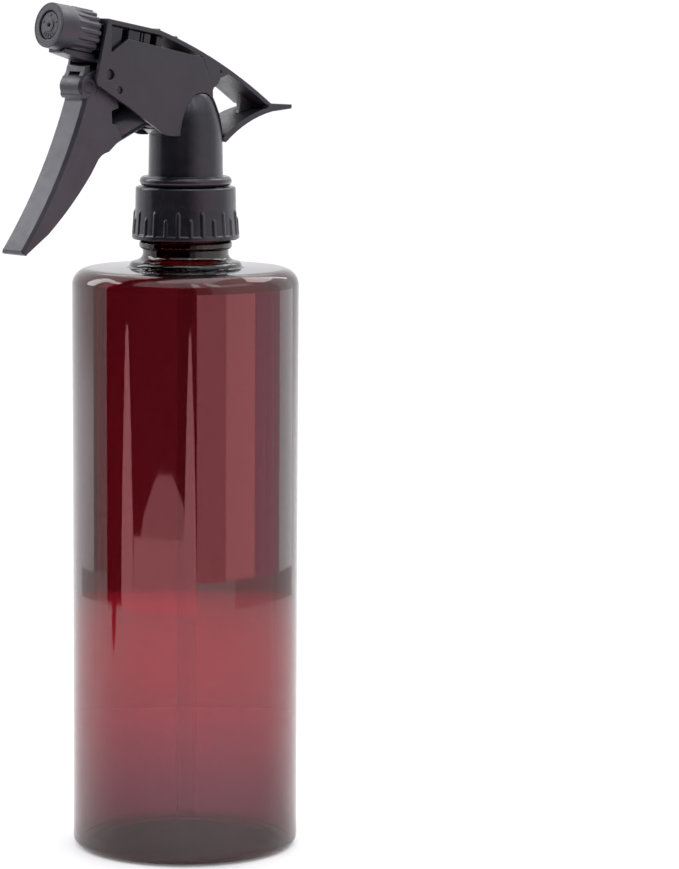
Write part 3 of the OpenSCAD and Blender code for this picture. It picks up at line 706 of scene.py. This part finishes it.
def make_floor():
    """The plain pale floor."""
    bm = bmesh.new()
    bmesh.ops.create_circle(bm, cap_ends=True, segments=96, radius=4)
    floor = new_object("floor", bm)
    floor.location.z = -0.0002
    m = Material("pale_floor")
    m.link(m.clouded(60, 4, rgb(0.885, 0.885, 0.888), rgb(0.9, 0.9, 0.903)), "Base Color")
    m.link(m.ramp(m.noise(20, 3), 0.3, 0.7, 0.55, 0.7), "Roughness")
    m.link(m.bump(m.noise(2, 3), 0.02), "Normal")
    m.set(Emission_Color=rgb(1, 1, 1), Emission_Strength=0.12)
    dress(floor, m.data)


def glow(name, strength, colour):
    """An even light-emitting material for a studio card."""
    data = bpy.data.materials.new(name)
    data.use_nodes = True
    tree = data.node_tree
    tree.nodes.remove(tree.nodes["Principled BSDF"])
    emission = tree.nodes.new("ShaderNodeEmission")
    emission.inputs["Color"].default_value = (*colour, 1)
    emission.inputs["Strength"].default_value = strength
    tree.links.new(emission.outputs[0], tree.nodes["Material Output"].inputs["Surface"])
    return data


def studio_piece(name, grid, strength, colour, seen_in):
    """A glowing card from rows of points, seen only in gloss or glass."""
    bm = bmesh.new()
    rows = [[bm.verts.new(point) for point in row] for row in grid]
    for low, high in zip(rows, rows[1:]):
        for i in range(len(low) - 1):
            bm.faces.new((low[i], low[i + 1], high[i + 1], high[i]))
    card = new_object(name, bm)
    card.data.materials.append(glow(name + "_glow", strength, colour))
    card.visible_camera = False
    card.visible_shadow = False
    card.visible_diffuse = False
    card.visible_glossy = seen_in == "gloss"
    card.visible_transmission = seen_in == "glass"


def studio_card(name, turns, heights, strength, distance=CARD_DISTANCE, colour=WHITE, taper=0.0,
                seen_in="gloss"):
    """A curved card round the object, between two turns from the camera. A tapered one narrows upwards."""
    columns, rows = 12, 8
    middle, half = (turns[0] + turns[1]) / 2, (turns[1] - turns[0]) / 2
    grid = []
    for j in range(rows + 1):
        height = heights[0] + (heights[1] - heights[0]) * j / rows
        reach = half * (1 - taper * (j / rows) ** 1.6)
        grid.append([direction(VIEW_AZIMUTH + middle + reach * (2 * i / columns - 1)) * distance
                     + Vector((0, 0, height)) for i in range(columns + 1)])
    studio_piece(name, grid, strength, colour, seen_in)


def floor_tongue(name, turn, half_width, near, far):
    """A dark pointed strip that lies on the floor and is seen only in gloss."""
    grid = [[direction(VIEW_AZIMUTH + turn + side * half_width * reach) * distance + ON_FLOOR
             for side in (-1, 1)] for distance, reach in ((near, 0.15), ((near + far) / 2, 0.8), (far, 1))]
    studio_piece(name, grid, 0.0, (0, 0, 0), "gloss")


def floor_shade(name, near, far, strength):
    """A flat ring behind the object that dims the floor seen in glass."""
    grid = [[direction(VIEW_AZIMUTH + 100 + 8 * i) * distance + ON_FLOOR for i in range(21)]
            for distance in (near, far)]
    studio_piece(name, grid, strength, WHITE, "glass")


def overhead_band(name, elevations, half_width, strength, distance=0.9, steps=8):
    """A bright strip from above the camera over to the back, seen only in gloss."""
    across = direction(VIEW_AZIMUTH + 90) * half_width
    grid = []
    for i in range(steps + 1):
        elevation = elevations[0] + (elevations[1] - elevations[0]) * i / steps
        middle = direction(VIEW_AZIMUTH, elevation) * distance + Vector((0, 0, 0.17))
        grid.append([middle - across, middle + across])
    studio_piece(name, grid, strength, WHITE, "gloss")


def soft_light(name, azimuth, elevation, distance, size, power):
    """A rectangular light that faces the object, at an azimuth from the camera's side."""
    data = bpy.data.lights.new(name, "AREA")
    data.shape = "RECTANGLE"
    data.size, data.size_y = size
    data.energy = power
    light = bpy.data.objects.new(name, data)
    back = direction(VIEW_AZIMUTH + azimuth, elevation)
    light.location = Vector((0, 0, 0.14)) + back * distance
    light.rotation_euler = back.to_track_quat("Z", "Y").to_euler()
    light.visible_camera = False
    bpy.context.scene.collection.objects.link(light)


def make_light():
    """The even surroundings and the three soft lights."""
    world = bpy.data.worlds.new("studio")
    bpy.context.scene.world = world
    world.use_nodes = True
    world.node_tree.nodes["Background"].inputs["Color"].default_value = rgb(0.975, 0.97, 1)
    world.node_tree.nodes["Background"].inputs["Strength"].default_value = 1.035
    soft_light("key", -105, 30, 1.3, (0.8, 0.8), 8.5)
    soft_light("fill", 60, 30, 1.4, (1.0, 1.0), 3)
    soft_light("rim", 125, 40, 1.3, (0.8, 0.8), 7)
    bpy.context.scene.view_settings.view_transform = "Standard"


def make_front_cards():
    """The dark front with its bright strips and wedges, which the left half of the bottle mirrors."""
    studio_card("grey_left", (-104, -84), (CARD_FOOT, CARD_TOP), 0.7)
    studio_card("skirt_left", (-128, -80), (0, CARD_FOOT), 1.0)
    studio_card("dark_front", (-84, 11), (0, CARD_TOP), 0.0)
    studio_card("strip_left", (-66, -52), (0, 0.115), 3.0, NEARER, WARM, 0.8)
    studio_card("wedge_low", (-52, 0), (0, 0.03), 2.8, NEARER, WARM)
    studio_card("wedge_high", (-44, 4), (0.03, 0.055), 2.0, NEARER, WARM, 0.7)
    studio_card("strip_middle", (-2, 11), (0, 0.112), 3.0, NEAREST, WARM, 0.85)


def make_window_cards():
    """The bright side, which the right half of the bottle mirrors in upright bands."""
    for turns, strength, colour in (((11, 40), 1.9, WARM), ((40, 72), 3.2, WARM), ((72, 108), 1.4, ROSE),
                                    ((108, 136), 1.9, PALE)):
        studio_card("window_low_%d" % turns[0], turns, (CARD_FOOT, WINDOW_SPLIT), strength, colour=colour)
    studio_card("skirt_right", (50, 136), (0, CARD_FOOT), 1.0)
    for turns, strength in (((11, 26), 0.25), ((26, 42), 0.7), ((42, 108), 0.97), ((108, 136), 1.3)):
        studio_card("window_high_%d" % turns[0], turns, (WINDOW_SPLIT, CARD_TOP), strength)
    for turns in ((8, 18), (30, 42)):
        studio_card("streak_%d" % turns[0], turns, (0.55, 1.2), 3.5)


def make_back_cards():
    """What is seen through the bottle: a dark wall, and the floor in front of it, dimmer farther back."""
    floor_tongue("dark_tongue", -75, 3, 0.35, CARD_DISTANCE)
    studio_card("dark_back", (100, 260), (0, 0.6), 0.2, 0.435, seen_in="glass")
    for i in range(SHADE_RINGS):
        near = 0.415 - SHADE_RING_W * i
        floor_shade("floor_shade_%d" % i, near, near + SHADE_RING_W,
                    0.6 + 0.7 * (i / (SHADE_RINGS - 1)) ** 0.5)
    overhead_band("overhead", (70, 150), 0.3, 2.2)


make_camera()
make_bottle()
make_cap()
make_head_shell()
make_trigger()
make_nozzle()
make_springs()
dress_carried_over()
make_floor()
make_light()
make_front_cards()
make_window_cards()
make_back_cards()
